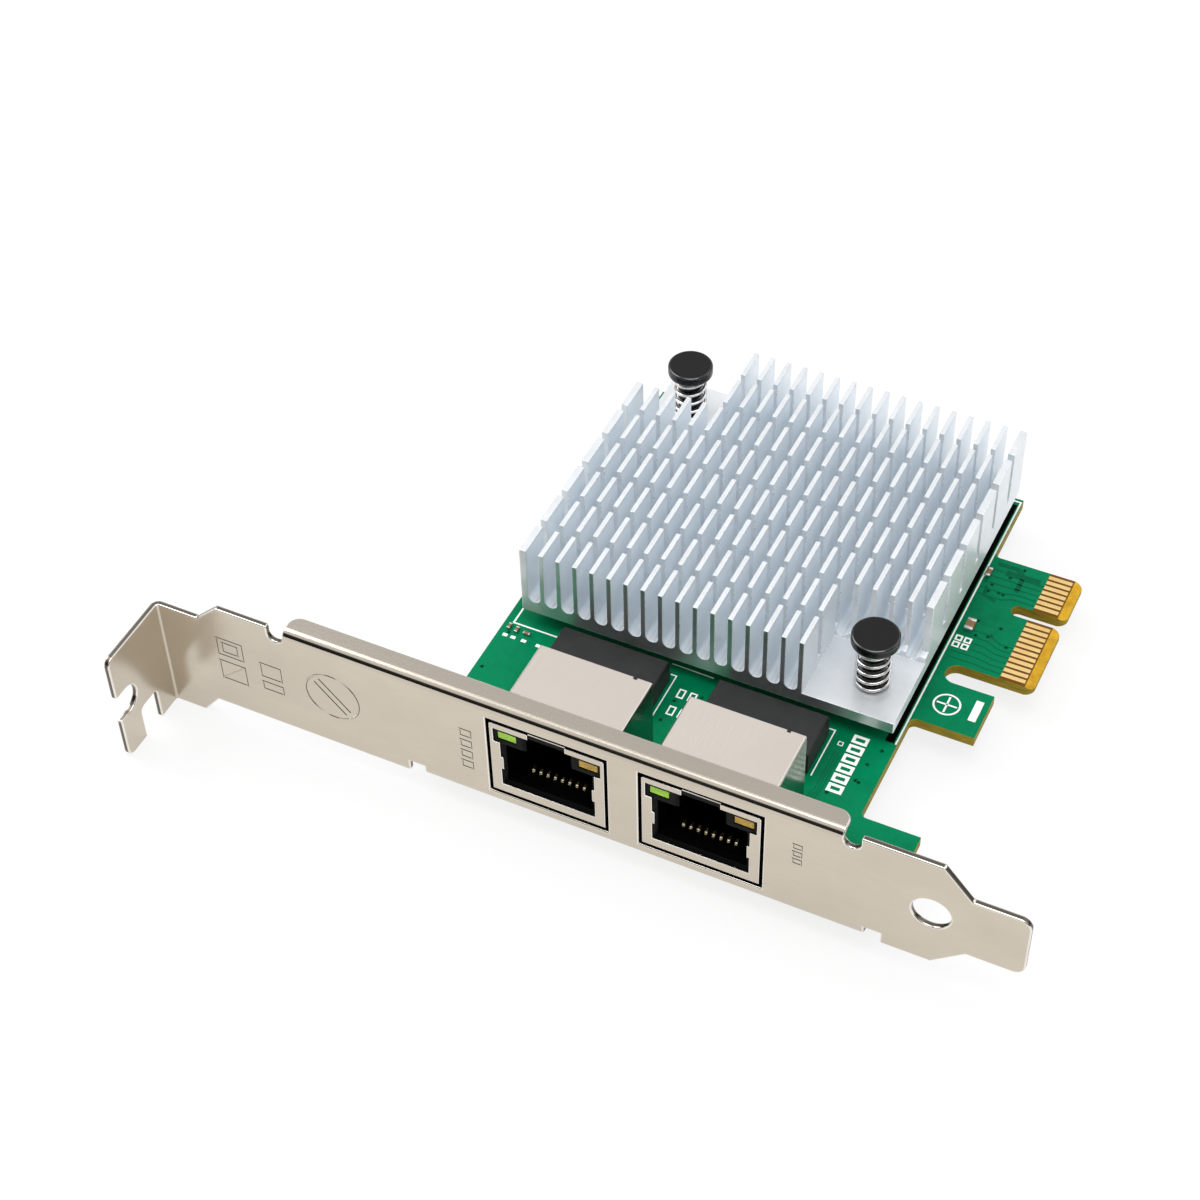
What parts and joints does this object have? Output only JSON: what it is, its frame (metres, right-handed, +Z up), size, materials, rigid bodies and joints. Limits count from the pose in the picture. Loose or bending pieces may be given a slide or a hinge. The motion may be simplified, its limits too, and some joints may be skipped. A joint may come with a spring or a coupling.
{
  "type": "network interface card",
  "caption": "Expansion card with folded metal bracket, twin network jacks, gold edge connector and pin-fin heatsink held by sprung push pins.",
  "frame": {"origin": "middle of the underside of the box around the whole card, with its component side up", "axes": "+X along the bracket from its screw flange to its tail, +Y from the bracket's outer face to the card's rear edge, +Z up from the component side"},
  "size_m": [0.12, 0.0894, 0.0216],
  "materials": {
    "nickel_steel": "nickel plated sheet steel, satin with bright cut edges",
    "screw_steel": "nickel plated screw",
    "solder_mask": "green solder mask over glass laminate",
    "contact_gold": "hard gold plating",
    "satin_aluminium": "clear anodised, satin",
    "chip_black": "moulded epoxy, matt",
    "pad_grey": "soft thermal pad",
    "pin_black": "moulded nylon, slight gloss",
    "spring_steel": "bright drawn wire",
    "tinned_lead": "tinned copper",
    "chip_tan": "fired ceramic",
    "shield_steel": "thin nickel plated sheet",
    "housing_black": "moulded plastic",
    "lens_green": "tinted clear plastic",
    "lens_amber": "tinted clear plastic"
  },
  "bodies": {
    "card": {"bracket": "nickel_steel", "bracket_screws": "screw_steel", "chip_ends_component_side": "tinned_lead", "chip_ends_solder_side": "tinned_lead", "chip_parts_component_side": "chip_tan", "chip_parts_solder_side": "chip_tan", "controller_chip": "chip_black", "edge_contacts_component_side": "contact_gold", "edge_contacts_solder_side": "contact_gold", "heatsink": "satin_aluminium", "indicator_wires": "tinned_lead", "jack_1_amber_lens": "lens_amber", "jack_1_contacts": "contact_gold", "jack_1_green_lens": "lens_green", "jack_1_housing": "housing_black", "jack_1_shield": "shield_steel", "jack_2_amber_lens": "lens_amber", "jack_2_contacts": "contact_gold", "jack_2_green_lens": "lens_green", "jack_2_housing": "housing_black", "jack_2_shield": "shield_steel", "magnetics_leads_1": "tinned_lead", "magnetics_leads_2": "tinned_lead", "magnetics_module_1": "chip_black", "magnetics_module_2": "chip_black", "memory_chip": "chip_black", "memory_leads": "tinned_lead", "pcb": "solder_mask", "spring_front": "spring_steel", "spring_rear": "spring_steel", "thermal_pad": "pad_grey", "timing_crystal": "tinned_lead"},
    "push_pin_front": {"push_pin_front": "pin_black"},
    "push_pin_rear": {"push_pin_rear": "pin_black"}
  },
  "joints": [
    {"name": "push_pin_front_press", "type": "slide", "parent": "card", "child": "push_pin_front", "axis": [0, 0, 1], "range_m": [-0.0015, 0], "stiffness_N_per_m": 1000, "springref_m": 0.003, "deforming": ["spring_front"]},
    {"name": "push_pin_rear_press", "type": "slide", "parent": "card", "child": "push_pin_rear", "axis": [0, 0, 1], "range_m": [-0.0015, 0], "stiffness_N_per_m": 1000, "springref_m": 0.003, "deforming": ["spring_rear"]}
  ]
}
